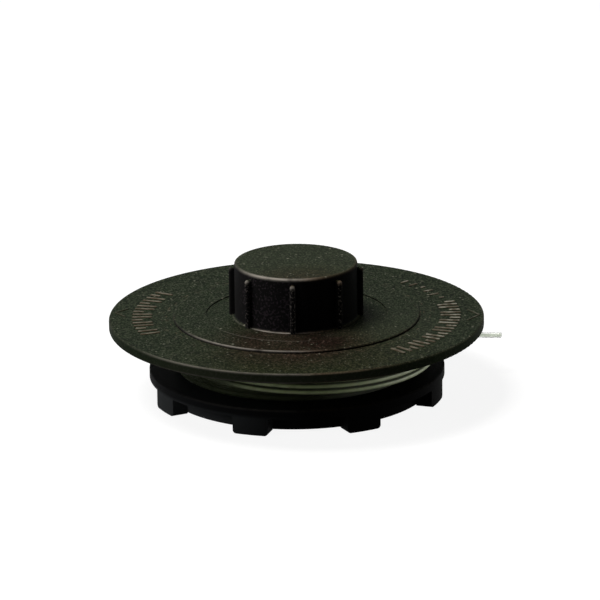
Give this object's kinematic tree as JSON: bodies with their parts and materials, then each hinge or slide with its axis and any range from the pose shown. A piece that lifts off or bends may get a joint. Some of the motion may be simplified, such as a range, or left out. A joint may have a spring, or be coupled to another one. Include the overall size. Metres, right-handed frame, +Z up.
{
  "type": "trimmer line spool",
  "caption": "Round line spool with a ribbed knob on a wide flange, wound nylon line, and drive lugs under a smaller flange.",
  "frame": {"origin": "on the spool's axis, at the level of the feet of the drive lugs", "axes": "+Z up along the spool's axis towards the knob; -Y is the front seen in the picture"},
  "size_m": [0.1106, 0.105, 0.0377],
  "materials": {
    "spool_nylon": "black-green moulded nylon with a fine texture, pale dust specks and rubbed edges",
    "cutting_line": "pale grey-green nylon monofilament, slightly glossy"
  },
  "bodies": {
    "root": {"spool": "spool_nylon", "line_winding": "cutting_line", "line_tail": "cutting_line"}
  },
  "joints": []
}
